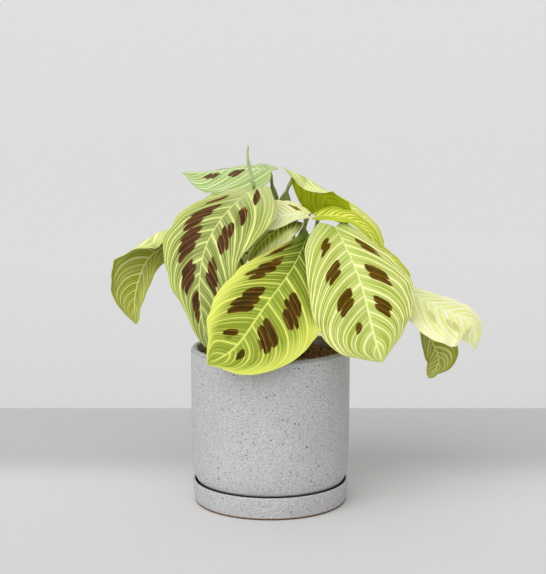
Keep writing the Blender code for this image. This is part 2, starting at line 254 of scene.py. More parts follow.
# Midribs, facings and half widths in millimetres, folds and curls in degrees, as in the frame.
blades = {
    "front_left": dict(
        rib=((28, -15, 205), (16, -36, 183), (-5, -53, 156), (-25, -65, 130), (-44, -72, 119)),
        face=((0.3, -0.6, 0.8), (0.25, -0.65, 0.7), (0.1, -0.8, 0.6)),
        left=(2, 7, 14, 25, 32, 34, 31, 25, 13), right=(2, 7, 16, 32, 42, 43, 36, 21, 7),
        foldR=(-5, 10, 10), curlL=(-10, -30, -30), curlR=-30, lobe=0.02, root=(8, -20),
        tone="bright", sweep=0.13, spots=(
            ((0.01, 0.08, 0.80, 0.12), (0.243, 0.09, 0.56, 0.20), (0.504, 0.09, 0.38, 0.24),
             (0.724, 0.045, 0.30, 0.17)),
            ((0.399, 0.08, 0.44, 0.20), (0.615, 0.08, 0.37, 0.22), (0.793, 0.025, 0.27, 0.12)))),
    "front_right": dict(
        rib=((48, -9, 210), (59, -30, 189), (67, -46, 167), (74, -54, 138), (80, -58, 118)),
        face=((0.1, -0.6, 0.8), (0.1, -0.8, 0.6), (0.1, -0.9, 0.4)),
        left=(13, 22, 30, 36, 39, 41, 38, 28, 13), right=(8, 14, 19, 27, 35, 36, 30, 20, 8),
        curlL=-30, curlR=-30, lobe=(0.06, 0.03), root=(20, -12),
        tone="sage", spots=(
            ((0.063, 0.04, 0.49, 0.13), (0.267, 0.075, 0.46, 0.17), (0.503, 0.07, 0.37, 0.17),
             (0.712, 0.03, 0.29, 0.09)),
            ((0.09, 0.05, 0.60, 0.18), (0.35, 0.08, 0.41, 0.19), (0.574, 0.06, 0.33, 0.18)))),
    "left": dict(
        rib=((-17, 0, 235), (-34, -11, 219), (-47, -20, 197), (-52, -25, 170), (-50, -26, 142),
             (-46, -24, 121)),
        face=((-0.3, -0.6, 0.8), (-0.4, -0.75, 0.5), (-0.3, -0.85, 0.3)),
        left=(10, 16, 25, 39, 38, 28, 15, 9, 5), right=(15, 31, 38, 36, 30, 27, 21, 12, 4),
        foldL=8, foldR=8, curlL=-30, curlR=-40, lobe=(0.01, 0.11), root=(-10, -2),
        arrive=(-0.15, -0.05, 1),
        tone="grey", spots=(
            ((-0.01, 0.02, 0.58, 0.10), (0.152, 0.075, 0.46, 0.19), (0.325, 0.075, 0.38, 0.20),
             (0.513, 0.08, 0.34, 0.23), (0.71, 0.07, 0.22, 0.22)),
            ((-0.03, 0.035, 0.43, 0.11), (0.085, 0.055, 0.40, 0.15), (0.25, 0.07, 0.40, 0.20),
             (0.494, 0.09, 0.40, 0.20)))),
    "top_left": dict(
        rib=((1, 31, 249), (-16, 38, 250), (-35, 50, 248), (-53, 62, 245), (-70, 74, 244)),
        face=((0.1, -0.75, 0.8),),
        left=(8, 16, 22, 24, 24, 17, 10, 6, 3), right=(12, 20, 26, 27, 26, 23, 16, 8, 3),
        foldL=-34, foldR=0, curlL=0, curlR=-15, lobe=0.03, root=(6, 17), arrive=(-0.15, 0, 1),
        wing=3,
        tone="mist", spots=(
            ((0.45, 0.04, 0.5, 0.3),), ((0.29, 0.07, 0.2, 0.17), (0.565, 0.07, 0.26, 0.18)))),
    "top_right": dict(
        rib=((16, 4, 246), (30, 6, 238), (42, 8, 229), (52, 11, 219), (58, 14, 209)),
        face=((0.3, 0.7, 0.6),),
        left=(6, 10, 14, 15, 14, 13, 12, 8, 4), right=(3, 6, 11, 17, 20, 18, 14, 9, 4),
        foldR=-5, rollL=(-40, -140, -30, 0, 0), rollFrom=0.3, lobe=(0.25, 0),
        root=(22, 8), arrive=(0.55, 0.05, 0.83), wing=4.5,
        tone="glow", spots=usualSpots, strength=0.35),
    "right_high": dict(
        rib=((46, 26, 231), (63, 28, 220), (79, 30, 206), (87, 31, 190)),
        face=((0.2, -0.5, 0.85), (0.35, -0.5, 0.75)),
        left=(5, 8, 9, 9, 9, 10, 11, 9, 5), right=(3, 4, 5, 6, 6, 6, 6, 5, 4),
        foldR=0, root=(20, 15), tone="pale"),
    "right": dict(
        rib=((34.4, -2, 217), (46, -5, 218), (60, -3, 215), (72, -3, 206), (82, -5, 191)),
        face=((0, -0.5, 0.85), (0.3, -0.5, 0.8)),
        left=(3, 5, 6, 7, 6, 6, 6, 5, 3), right=(4, 8, 11, 11, 9, 8, 8, 6, 3),
        foldL=8, foldR=8, root=(19, -4), arrive=(0.2, -0.2, 0.95), wing=2, tone="lime"),
    "inner_left": dict(
        rib=((28, -3, 218), (17, -6, 219), (5, -10, 217), (-5, -14, 214), (-11, -17, 211)),
        face=((0.1, -0.7, 0.75),),
        left=(3, 6, 9, 13, 15, 14, 11, 7, 3), right=(2, 3, 4, 6, 8, 9, 9, 6, 3),
        foldR=0, root=(12, 2), arrive=(0.1, -0.2, 0.95), wing=3,
        tone="cream", spots=(((0.12, 0.05, 0.5, 0.2),), ())),
    "far_left": dict(
        rib=((-72, 22, 196), (-91, 12, 185), (-99, 4, 168), (-102, 0, 152), (-101, -4, 136)),
        face=((-0.3, 0.9, 0.4),),
        left=(8, 10, 11, 11, 10, 9, 7, 4, 3), right=(14, 20, 25, 26, 27, 24, 18, 10, 4),
        foldL=-10, foldR=5, curlL=-40, rollR=(-40, -140, -10, 0, 0), rollFrom=0.45, lobe=0,
        root=(-24, -2), arrive=(-0.8, 0.1, 0.5), tone="olive"),
    "far_right": dict(
        rib=((96, -16, 168), (112, -18, 158), (129, -20, 149), (145, -20, 142), (151, -20, 135),
             (152, -20, 120)),
        face=((0.1, -0.6, 0.8), (0.3, -0.7, 0.6)),
        left=(8, 14, 20, 27, 30, 29, 24, 14, 5), right=(4, 5, 8, 12, 16, 17, 13, 7, 3),
        foldL=5, foldR=-5, root=(24, -4),
        tone="cream", spots=(((0.5, 0.05, 0.4, 0.15), (0.3, 0.05, 0.4, 0.15)), ()), strength=0.3),
    "far_right_low": dict(
        rib=((113, 4, 139), (122, 0, 122), (127, -2, 107), (120, -2, 94)),
        face=((0.1, 0.8, 0.3),),
        left=(4, 6, 8, 11, 17, 17, 10, 4, 3), right=(2, 3, 4, 7, 9, 10, 9, 7, 4),
        foldL=0, foldR=0, root=(27, 4), tone="olive"),
    "right_edge": dict(
        rib=((68, 15, 197), (80, 13, 191), (92, 10, 180), (101, 5, 166), (106, 1, 151)),
        face=((0.4, -0.4, 0.8),),
        left=(3, 5, 8, 12, 13, 12, 10, 7, 4), right=(3, 5, 7, 9, 10, 11, 9, 6, 3),
        root=(26, 12), tone="lime"),
    "left_behind": dict(
        rib=((-24, 18, 226), (-43, 18, 223), (-56, 21, 213), (-60, 24, 198), (-60, 26, 182)),
        face=((-0.5, -0.3, 0.8),),
        left=(6, 12, 16, 19, 19, 17, 13, 8, 4), right=(6, 12, 16, 19, 19, 17, 13, 8, 4),
        root=(-18, 8), tone="grey", spots=(((0.3, 0.06, 0.5, 0.2),), ((0.3, 0.06, 0.5, 0.2),))),
    "inner_low": dict(
        rib=((20, 1, 213), (10, -4, 211), (1, -8, 205), (-8, -12, 197), (-16, -15, 185)),
        face=((-0.2, -0.7, 0.6),),
        left=(3, 4, 5, 6, 6, 6, 5, 4, 3), right=(4, 8, 11, 13, 13, 12, 10, 6, 3),
        foldR=(10, -20, -20), root=(10, -13), arrive=(0.1, -0.1, 1), tone="shade"),
    "back_left": dict(
        rib=((-15, 28, 196), (-31, 53, 194), (-42, 76, 180), (-47, 90, 158), (-49, 96, 134)),
        face=((-0.2, 0.3, 0.9), (-0.3, 0.9, 0.3)),
        left=(12, 21, 28, 33, 34, 31, 24, 14, 6), right=(12, 19, 24, 28, 29, 27, 22, 13, 6),
        root=(-8, 22), tone="sage", spots=usualSpots),
    "back_right": dict(
        rib=((20, 36, 186), (30, 60, 186), (38, 82, 174), (42, 95, 152), (42, 99, 128)),
        face=((0.2, 0.3, 0.9), (0.3, 0.9, 0.3)),
        left=(12, 20, 26, 30, 31, 29, 22, 13, 6), right=(12, 20, 26, 31, 32, 29, 22, 13, 6),
        root=(4, 22), tone="grey", spots=usualSpots),
    "right_behind": dict(
        rib=((38, 36, 174), (58, 48, 172), (78, 55, 162), (90, 62, 141), (92, 64, 121)),
        face=((0.3, 0.3, 0.9), (0.7, 0.6, 0.3)),
        left=(10, 16, 22, 26, 27, 25, 19, 11, 5), right=(10, 16, 22, 26, 27, 25, 19, 11, 5),
        root=(16, 24), tone="sage", spots=usualSpots),
    "left_low": dict(
        rib=((-24, 26, 184), (-40, 38, 182), (-52, 46, 168), (-57, 48, 146), (-55, 48, 126)),
        face=((-0.3, 0.2, 0.9), (-0.8, 0.4, 0.3)),
        left=(8, 13, 17, 20, 21, 19, 15, 9, 4), right=(8, 13, 17, 20, 21, 19, 15, 9, 4),
        root=(-22, 15), tone="bright", spots=usualSpots),
}

# Leaf colours: green between the veins, edge near the margin, heart beside the midrib,
# deep towards the base, vein, spot and its lighter blotch, and under for the lower side, as
# display levels. Some tones have their own deepTo, rim, faint or slim, which makes veins narrower.
# The tones are one kind of leaf as each leaf is lit, so they differ partly by painted light and
# shade: deep is painted shade where it is darker than green, and under is partly painted light
# shining through the leaf.
tones = {
    "sage": dict(green=(168, 184, 68), edge=(160, 176, 48), heart=(190, 206, 106),
                 deep=(168, 186, 80), vein=(252, 252, 182), spot=(76, 58, 0),
                 blotch=(116, 90, 10), under=(180, 188, 60)),
    "bright": dict(green=(142, 158, 44), edge=(214, 220, 98), heart=(142, 162, 52),
                   deep=(54, 80, 0), vein=(232, 237, 120), spot=(44, 38, 0),
                   blotch=(124, 84, 6), under=(160, 174, 30), deepTo=0.5, faint=0.35, slim=0.8),
    "grey": dict(green=(122, 138, 58), edge=(142, 158, 60), heart=(144, 156, 84),
                 deep=(178, 188, 124), vein=(230, 236, 152), spot=(66, 38, 26),
                 blotch=(112, 84, 40), under=(150, 160, 60)),
    # painted sheen: this tone's pale bluish green is the backdrop's light reflected at a grazing angle
    "mist": dict(green=(142, 170, 92), edge=(142, 170, 104), heart=(164, 190, 120),
                 deep=(160, 186, 112), vein=(226, 236, 178), spot=(78, 58, 38),
                 blotch=(100, 84, 60), under=(170, 182, 80)),
    # painted light: the pale upper colours are painted sheen, and the saturated under colour is painted
    # light shining through the leaf
    "glow": dict(green=(206, 216, 120), edge=(216, 224, 150), heart=(200, 210, 110),
                 deep=(194, 206, 96), vein=(244, 248, 190), spot=(80, 80, 0),
                 blotch=(110, 106, 0), under=(170, 186, 0), underVein=(216, 222, 70)),
    "lime": dict(green=(162, 182, 8), edge=(190, 204, 30), heart=(168, 186, 12),
                 deep=(146, 164, 0), vein=(248, 248, 120), spot=(120, 100, 10),
                 blotch=(140, 120, 10), under=(176, 188, 10), deepTo=0.3),
    "pale": dict(green=(206, 212, 40), edge=(224, 228, 90), heart=(214, 220, 60),
                 deep=(196, 204, 40), vein=(255, 255, 170), spot=(120, 100, 50),
                 blotch=(140, 120, 60), under=(204, 206, 20)),
    "cream": dict(green=(226, 230, 124), edge=(246, 248, 176), heart=(232, 240, 150),
                  deep=(214, 220, 100), vein=(255, 255, 230), spot=(120, 96, 50),
                  blotch=(150, 124, 70), under=(160, 166, 40)),
    "olive": dict(green=(190, 202, 106), edge=(206, 216, 120), heart=(192, 202, 100),
                  deep=(180, 192, 90), vein=(250, 252, 190), spot=(100, 100, 40),
                  blotch=(120, 120, 40), under=(154, 160, 26)),
    # painted shade: a leaf in deep shade, dark within, with a painted highlight along its margin from rim
    # on
    "shade": dict(green=(146, 158, 24), edge=(252, 254, 196), heart=(104, 120, 4),
                  deep=(84, 100, 0), vein=(214, 222, 104), spot=(60, 60, 10),
                  blotch=(70, 70, 10), under=(64, 78, 0), deepTo=0.3, rim=0.3, slim=0.6),
}


def hermite(first, second, slopeFirst, slopeSecond, t):
    return ((2*t**3 - 3*t**2 + 1) * first + (t**3 - 2*t**2 + t) * slopeFirst
            + (3*t**2 - 2*t**3) * second + (t**3 - t**2) * slopeSecond)


def smoothThrough(values, place):
    # a smooth curve through the values, where place runs from 0 to their last index
    last = len(values) - 1
    place = min(max(place, 0.0), float(last))
    k = min(int(place), last - 1)
    b, c = values[k], values[k + 1]
    a = values[k - 1] if k > 0 else 2 * b - c
    d = values[k + 2] if k + 2 <= last else 2 * c - b
    return hermite(b, c, (c - a) / 2, (d - b) / 2, place - k)


def widthAt(widths, s):
    # a smooth curve through the half widths at the stations
    widths = list(widths) + [leafMake["tipHalfWidth"]]
    last = len(stations) - 1
    k = 0
    while k < last - 1 and s > stations[k + 1]:
        k += 1
    span = stations[k + 1] - stations[k]

    def slope(i):
        low, high = max(i - 1, 0), min(i + 1, last)
        return span * (widths[high] - widths[low]) / (stations[high] - stations[low])

    return hermite(widths[k], widths[k + 1], slope(k), slope(k + 1), (s - stations[k]) / span)


def blendAt(values, s):
    # one number, or a straight blend through numbers evenly spaced from base to tip
    if not isinstance(values, tuple):
        return float(values)
    place = s * (len(values) - 1)
    k = min(int(place), len(values) - 2)
    t = place - k
    return values[k] * (1 - t) + values[k + 1] * t


def evenCurve(points, count=200):
    values = [np.array(p, float) for p in points]
    last = len(values) - 1
    dense = np.array([smoothThrough(values, last * k / count) for k in range(count + 1)])
    steps = np.linalg.norm(np.diff(dense, axis=0), axis=1)
    return dense, np.concatenate([[0.0], np.cumsum(steps)])


def pointAlong(curve, distance):
    dense, run = curve
    return np.array([np.interp(distance, run, dense[:, k]) for k in range(3)])


def bladeFrame(spec, curve, s):
    # place, direction, upper normal and left-hand side at a fraction s of the midrib
    length = curve[1][-1]
    reach = 0.02 * length
    ahead = pointAlong(curve, s * length + reach)
    behind = pointAlong(curve, s * length - reach)
    along = unit(ahead - behind)
    faces = [unit(np.array(f, float)) for f in spec["face"]]
    face = faces[0] if len(faces) == 1 else smoothThrough(faces, s * (len(faces) - 1))
    up = unit(face - along * np.dot(face, along))
    return pointAlong(curve, s * length), along, up, np.cross(along, up)


def halfRow(spec, curve, s, side, columns):
    # points from the midrib's neighbour to the margin on one side, +1 left or -1 right
    make = leafMake
    letter = "L" if side > 0 else "R"
    place, along, up, left = bladeFrame(spec, curve, s)
    width = widthAt(spec["left" if side > 0 else "right"], s)
    fold = math.radians(blendAt(spec.get("fold" + letter, make["foldBy"]), s))
    curl = math.radians(blendAt(spec.get("curl" + letter, make["curlBy"]), s))
    roll = math.radians(blendAt(spec.get("roll" + letter, 0), s))
    lobe = spec.get("lobe", make["lobe"])
    lobe = lobe[0 if side > 0 else 1] if isinstance(lobe, tuple) else lobe
    reach = lobe * curve[1][-1] * max(1 - make["lobeEnd"] * s, 0)**1.5
    steps = columns * 4
    a = (np.arange(steps) + 0.5) / steps
    rolled = np.clip((a - spec.get("rollFrom", make["rollFrom"])) / make["rollSpan"], 0, 1)
    angle = fold + curl * a**2 + roll * rolled
    out = np.cumsum(np.cos(angle))[3::4] * width / steps
    rise = np.cumsum(np.sin(angle))[3::4] * width / steps
    share = np.arange(1, columns + 1) / columns
    back = reach * make["lobeSwell"] * share**1.2 * (1 - 0.5 * share**3)
    row = place + np.outer(out, left * side) + np.outer(rise, up) - np.outer(back, along)
    return place, row, width


def gridNormals(grid):
    down = np.gradient(grid, axis=0)
    across = np.gradient(grid, axis=1)
    normals = np.cross(across, down)
    return normals / np.maximum(np.linalg.norm(normals, axis=2, keepdims=True), 1e-9)


def shellFaces(rows, columns):
    # quads of a closed shell whose upper and lower sheets are rows x columns of points
    at = np.arange(rows * columns).reshape(rows, columns)
    upper = np.stack([at[:-1, :-1], at[:-1, 1:], at[1:, 1:], at[1:, :-1]], 2).reshape(-1, 4)
    lower = upper[:, [0, 3, 2, 1]] + rows * columns
    edge = np.concatenate([at[0], at[1:, -1], at[-1, -2::-1], at[-2:0:-1, 0]])
    after = np.roll(edge, -1)
    rim = np.stack([edge, edge + rows * columns, after + rows * columns, after], 1)
    return np.concatenate([upper, lower, rim]).tolist()


def bladeGrid(spec, curve):
    # the middle surface of a blade, from right margin to left in every row
    rows, columns = leafMake["rows"], leafMake["columns"]
    grid, shares, widths = [], [], []
    for i in range(rows + 1):
        even = i / rows
        gathered = 0.5 - 0.5 * math.cos(math.pi * even)
        s = even + leafMake["crowding"] * (gathered - even)
        place, left, leftWidth = halfRow(spec, curve, s, 1, columns)
        place, right, rightWidth = halfRow(spec, curve, s, -1, columns)
        grid.append(np.concatenate([right[::-1], [place], left]))
        shares.append(s)
        widths.append([rightWidth] * columns + [leftWidth] * (columns + 1))
    across = np.arange(-columns, columns + 1)[None, :] / columns
    return np.array(grid), np.array(shares)[:, None], across, np.array(widths)


def surfaceLift(spec, seed, along, across, widths):
    # margin waves, and the puckered strips between the laterals
    make = leafMake
    outer = np.abs(across)
    size = widths / make["usualHalf"]
    draw = random.Random(seed)
    phases = [draw.uniform(0, 2 * math.pi) for wave in range(4)]
    turns = make["waveCount"] * 2 * math.pi * along
    onLeft = np.sin(turns + phases[0]) + 0.6 * np.sin(1.9 * turns + phases[1])
    onRight = np.sin(1.1 * turns + phases[2]) + 0.6 * np.sin(2.1 * turns + phases[3])
    lift = make["wave"] * size * np.where(across > 0, onLeft, onRight) * outer**3
    # the laterals leave the midrib and sweep forward beside the margin
    phase = along + spec.get("sweep", make["veinSweep"]) * np.log(1 - make["sweepReach"] * outer)
    strips = -np.cos(2 * math.pi * make["veins"] * phase)
    calm = np.clip(outer / 0.2, 0, 1) * np.clip((1 - outer) / 0.25, 0, 1)
    lift += make["quilt"] * size * calm * strips
    return lift * np.clip(along / 0.06, 0, 1) * np.clip((1 - along) / 0.08, 0, 1)


def bladeSheets(spec, seed):
    curve = evenCurve(spec["rib"])
    grid, along, across, widths = bladeGrid(spec, curve)
    normals = gridNormals(grid)
    grid = grid + normals * surfaceLift(spec, seed, along, across, widths)[:, :, None]
    off = np.abs(across) * widths
    rib = np.exp(-(off / leafMake["ribSpan"])**2) * (1 - leafMake["ribTaper"] * along)
    half, deep = leafMake["thick"] / 2, leafMake["ribDepth"] * rib
    upper = grid + normals * (half - leafMake["ribGroove"] * deep)[:, :, None]
    lower = grid - normals * (half + deep)[:, :, None]
    return upper, lower, along, across


def makeBlade(name, spec, look, seed):
    upper, lower, along, across = bladeSheets(spec, seed)
    rows, columns = upper.shape[:2]
    points = np.concatenate([upper.reshape(-1, 3), lower.reshape(-1, 3)])
    made = addMesh("leaf_" + name, points, shellFaces(rows, columns), look)
    mesh = made.data
    places = np.stack(np.broadcast_arrays(along, 0.5 + 0.5 * across), 2).reshape(-1, 2)
    corners = np.empty(len(mesh.loops), int)
    mesh.loops.foreach_get("vertex_index", corners)
    leafMap = mesh.uv_layers.new(name="leafMap")
    leafMap.data.foreach_set("uv", np.tile(places, (2, 1))[corners].astype(np.float32).ravel())
    markPoints(mesh, "underside", np.repeat([0.0, 1.0], rows * columns))
    return made


veinMake = dict(
    mainHalf=0.55, fineHalf=0.32, haloHalf=1.7,  # half breadths of the lines, in millimetres
    spotHalf=0.2, hairHalf=0.08,
    finePer=3, hairPer=9, spotPer=2, fingerPer=1.5,  # to each lateral
    haloShare=0.34, midribShare=0.75, marginShare=0.6, spotShare=0.6,
    weakest=0.25, strongest=0.85,  # of the fine lines
    midribHalf=0.8,
    wander=0.024, wanderScale=40.0,  # of the laterals, as a share of the midrib
    unevenScale=0.55,  # how slowly the laterals' spacing changes
    overSpot=(184, 124, 40),  # lines where they cross a spot
    thickTo=0.14, thinBase=0.7,  # lines thicken from the base up to here
    midribFlare=0.05,  # how much wider the midrib's share grows at the tip
)

spotMake = dict(
    rampFrom=-0.3, rampSpan=1.3,
    step=0.8,  # how squarely the fingers end
    shortest=0.9, spread=0.26,  # of a finger, to its spot's half length
    shift=0.04, ragged=0.07, notch=0.5, swell=0.36, edge=0.014, blotches=0.5,
)


# Spans are shares of the way from midrib to margin, or from base to tip where it says so.
skinMake = dict(
    specular=0.07, roughness=0.34, rougher=0.2, relief=0.00015,
    grain=(1.6, 3.0, 0.6),  # scale, detail and roughness
    grainStretch=(3.0, 2.0),  # for each lateral, and from margin to margin
    darkest=0.8, streakShare=0.4, hairShare=0.08,
    heartSpan=(0.02, 0.42), rim=0.6, rimSpan=0.35, marginSpan=(0.965, 0.985),
    deepTo=0.2, faint=0.8, faintTo=0.35,  # from base to tip
    underShare=0.5,  # how far spots and veins show on the lower side
    glow=(0.6, 0.0005, (0.9, 1.0, 0.3)),
)


def spotRamp(place, spots):
    # red: how far into a spot across the laterals; green: its middle; blue: its half length
    ramp = nodeOf("ShaderNodeValToRGB", treeOf(place), {0: place})
    stops = ramp.color_ramp.elements
    stops.remove(stops[-1])
    stops[0].position = 0.0
    stops[0].color = (0, 0, 0, 1)
    for centre, breadth, middle, length in spots:
        for shift, level in ((-breadth, 0.0), (0.0, 1.0), (breadth, 0.0)):
            where = (centre + shift - spotMake["rampFrom"]) / spotMake["rampSpan"]
            stops.new(where).color = (level, middle, length, 1)
    return Wire(ramp.outputs[0])


def leafPlace(tree):
    # the leaf's own map: u from base to tip, v from right margin to left
    uv = Wire(nodeOf("ShaderNodeUVMap", tree, {}, uv_map="leafMap").outputs[0])
    along, v = split(uv)[:2]
    signed = v * 2.0 - 1.0
    return along, signed, abs(signed), calc("GREATER_THAN", v, 0.5)


def lateralTurns(tree, along, across, onLeft, sweep, seed):
    # phase is where a lateral leaves the midrib, turn counts the laterals from the base
    wander = (noiseOf(objectPlace(tree), veinMake["wanderScale"]) - 0.5) * veinMake["wander"]
    inner = 1.0 - across * leafMake["sweepReach"]
    phase = along + calc("LOGARITHM", inner, math.e) * sweep + wander
    even = phase * leafMake["veins"] + (onLeft * 0.4 + 50.5)  # the two halves alternate
    inputs = {"W": even + onLeft * 31.0, "Scale": veinMake["unevenScale"], "Detail": 1.0}
    uneven = nodeOf("ShaderNodeTexNoise", tree, inputs, noise_dimensions="1D")
    return phase, even + (Wire(uneven.outputs["Fac"]) + (seed - 0.5)), inner


def spotShare(spec, seed, across, onLeft, phase, turn, grainPlace):
    # 1 inside the dark spots, which are made of fingers that run along the laterals
    make = spotMake
    fingers = turn * veinMake["fingerPer"] + 0.25
    bend = calc("FRACT", fingers) - 0.5
    stepped = phase - bend * (make["step"] / leafMake["veins"] / veinMake["fingerPer"])
    lookup = (stepped - make["rampFrom"]) * (1 / make["rampSpan"])
    onSides = [spotRamp(lookup, spots) for spots in spec.get("spots", ((), ()))]
    level, middle, reach = split(blend(onLeft, onSides[1], onSides[0]), "ShaderNodeSeparateColor")
    cell = joined(calc("FLOOR", fingers), onLeft * 7.0 + seed)
    chance = nodeOf("ShaderNodeTexWhiteNoise", treeOf(cell), {"Vector": cell}, noise_dimensions="2D")
    draws = split(Wire(chance.outputs["Color"]), "ShaderNodeSeparateColor")

    swell = (level * (2.0 - level))**make["swell"]
    reach = reach * swell * (draws[0] * make["spread"] + make["shortest"])
    ragged = (noiseOf(grainPlace, 5.0) - 0.5) * make["ragged"]
    reach = reach - abs(bend)**3.0 * make["notch"] + ragged
    middle = middle + (draws[1] - 0.5) * make["shift"]
    inside = ease(abs(across - middle) - reach, make["edge"], -make["edge"])
    return inside * ease(level, 0.02, 0.1) * spec.get("strength", 1.0)


def leafMaterial(name, spec, seed):
    skin, make, veins = skinMake, veinMake, leafMake["veins"]
    made, tree, shader = newMaterial(name, skin["roughness"], skin["specular"])
    length = evenCurve(spec["rib"])[1][-1]
    breadth = (max(spec["left"]) + max(spec["right"])) / 2
    tone, sweep = tones[spec["tone"]], spec.get("sweep", leafMake["veinSweep"])
    along, signed, across, onLeft = leafPlace(tree)
    phase, turn, inner = lateralTurns(tree, along, across, onLeft, sweep, seed)

    # the more a lateral slants, the closer it lies to the next
    slope = calc("DIVIDE", sweep * leafMake["sweepReach"] * length / breadth, inner)
    crowd = calc("SQRT", slope * slope + 1.0) * ease(along, 0.0, make["thickTo"], make["thinBase"], 1.0)

    def lines(per, half):
        # 1 on each line and 0 beside it, fading out where the lines would merge
        distance = abs(calc("FRACT", turn * per) - 0.5)
        limit = crowd * (half * veins * per / length)
        return ease(distance, limit * 1.35, limit * 0.5) * ease(limit, 0.42, 0.2, 0.15, 1.0)

    slim = tone.get("slim", 1.0)
    mainVeins = lines(1, make["mainHalf"] * slim)
    hairVeins = lines(make["hairPer"], make["hairHalf"])
    each = nodeOf("ShaderNodeTexWhiteNoise", tree, {"W": calc("FLOOR", turn * make["finePer"])},
                  noise_dimensions="1D")
    strong = Wire(each.outputs["Value"]) * (make["strongest"] - make["weakest"]) + make["weakest"]
    fineVeins = lines(make["finePer"], make["fineHalf"]) * strong * ease(across, 0.0, 0.3, 0.5, 1.0)
    ribEdge = along**4.0 * make["midribFlare"] + make["midribHalf"] / breadth
    midrib = ease(across, ribEdge, ribEdge * 0.5)

    # ground colour and spots
    grainPlace = joined(turn * skin["grainStretch"][0], signed * skin["grainStretch"][1])
    streaks = noiseOf(grainPlace, *skin["grain"])
    shade = streaks * skin["streakShare"] + skin["darkest"] + hairVeins * skin["hairShare"]
    ground = blend(ease(across, *skin["heartSpan"]), tone["heart"], tone["green"])
    rim = tone.get("rim", skin["rim"])
    ground = blend(ease(across, rim, rim + skin["rimSpan"]), ground, tone["edge"])
    # painted shade: towards the base the ground turns to the tone's deep colour, which where it is darker
    # than green stands for the shade of the leaves above
    ground = blend(ease(along, tone.get("deepTo", skin["deepTo"]), 0.0), ground, tone["deep"])
    spot = spotShare(spec, seed, across, onLeft, phase, turn, grainPlace)
    mottle = ease(streaks, 0.3, 0.7, 0.0, spotMake["blotches"])
    top = blend(spot, darken(ground, shade), blend(mottle, tone["spot"], tone["blotch"]))

    # the veins over the ground, fainter and browner where they cross a spot
    halo = lines(1, make["haloHalf"]) * (make["haloShare"] * slim**2)
    plain = highest(mainVeins, fineVeins, halo)
    plain = plain * ease(along, 0.0, skin["faintTo"], tone.get("faint", skin["faint"]), 1.0)
    onSpot = lines(make["spotPer"], make["spotHalf"]) * spot * make["spotShare"]
    margin = ease(across, *skin["marginSpan"], 0.0, make["marginShare"])
    veinShare = highest(plain * (1.0 - spot) + onSpot, midrib * make["midribShare"], margin)
    top = blend(veinShare, top, blend(spot, tone["vein"], make["overSpot"]))

    # lower side, whose under colour is partly painted light shining through the leaf
    under = darken(blend(spot * skin["underShare"], tone["under"], tone["spot"]), shade)
    underShare = highest(mainVeins, midrib, fineVeins) * skin["underShare"]
    under = blend(underShare, under, tone.get("underVein", tone["vein"]))
    feed(shader.inputs["Base Color"], blend(attributeOf(tree, "underside"), top, under))
    bump(shader, fineVeins * 0.5 + mainVeins + hairVeins * 0.2, skin["relief"], 0.6)
    feed(shader.inputs["Roughness"], streaks * skin["rougher"] + skin["roughness"])
    glowThrough(shader, *skin["glow"])
    return made


def makeLeaves():
    for number, (name, spec) in enumerate(blades.items()):
        look = leafMaterial("leaf_" + name, spec, number)
        leaf = makeBlade(name, spec, look, number + leafMake["firstSeed"])
        settle(leaf, "leaf_green", "blade_" + name)
    print("leaves made:", len(blades))


stalkMake = dict(
    rings=44, sides=14,
    sheath=2.1, radius=1.1, pulvinus=1.45,  # radii from the soil up to the blade
    sheathTop=0.6, pulvinusPlace=0.96, pulvinusSpan=0.03,
    wingPlace=0.74, wingSpan=0.15, ridges=5, ridgeShare=0.05,
    bladeClear=0.25 + gap,  # from the blade's middle surface
    seatInset=1.5, edgeClear=1.4, steepArrive=0.5,
    usualArrive=(0.75, 0.65), rootPull=0.5, endPull=0.22,
    intoSoil=3.0, intoBlade=0.5,
    foot=(132, 100, 74), footSpan=(0.1, 0.75), skin=(112, 126, 36),
    top=(150, 160, 60), topSpan=(0.9, 0.97), streak=(82, 76, 34),
    streaks=(900.0, 0.12),  # scale, and its share up the stem
    relief=0.0002, glow=(0.15, 0.001),
)

spikeMake = dict(
    rib=((-12.5, 4, 239), (-15, 4, 249), (-17, 4, 261), (-16.5, 4, 269.5)),
    base=1.9, tip=0.7, point=0.94,  # radii, and where it starts to close
    root=(-5, 5), pull=0.4, rings=60, sides=28, wraps=1.6,
    closing=0.75, inner=0.86, lapRise=0.16,  # how far it closes, and its wrapped outline
    dark=(150, 170, 96), light=(196, 208, 150), streaks=(700.0, 0.2),
    relief=0.0002, glow=(0.3, 0.001),
)

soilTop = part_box("soil")[1][2] / mm


def bezier(a, b, c, d, t):
    return a*(1 - t)**3 + 3*b*t*(1 - t)**2 + 3*c*t**2*(1 - t) + d*t**3


def petioleRoute(spec):
    # four handles, from the soil to the blade's base
    make = stalkMake
    place, along, up = bladeFrame(spec, evenCurve(spec["rib"]), 0.0)[:3]
    usual = make["usualArrive"][0] * up + make["usualArrive"][1] * along
    arrive = unit(np.array(spec.get("arrive", usual), float))
    rise = abs(np.dot(arrive, up))
    if rise > make["steepArrive"]:
        tilt = math.sqrt(1 - rise**2)
        clear = (make["bladeClear"] + make["pulvinus"] * tilt) / rise
        end = place + along * make["seatInset"] - arrive * clear
    else:
        end = place - arrive * make["edgeClear"] * make["bladeClear"]
    start = np.array((*spec["root"], soilTop + 2 * gap), float)
    reach = np.linalg.norm(end - start)
    first = start + np.array((0, 0, make["rootPull"] * reach))
    second = end - arrive * make["endPull"] * reach
    return start, first, second, end


def petioleRadiusAt(t):
    make = stalkMake
    sheath = make["sheath"] + (make["radius"] - make["sheath"]) * min(max(t, 0) / make["sheathTop"], 1)
    swell = (make["pulvinus"] - make["radius"]) * math.exp(
        -((t - make["pulvinusPlace"]) / make["pulvinusSpan"])**2)
    return sheath + swell


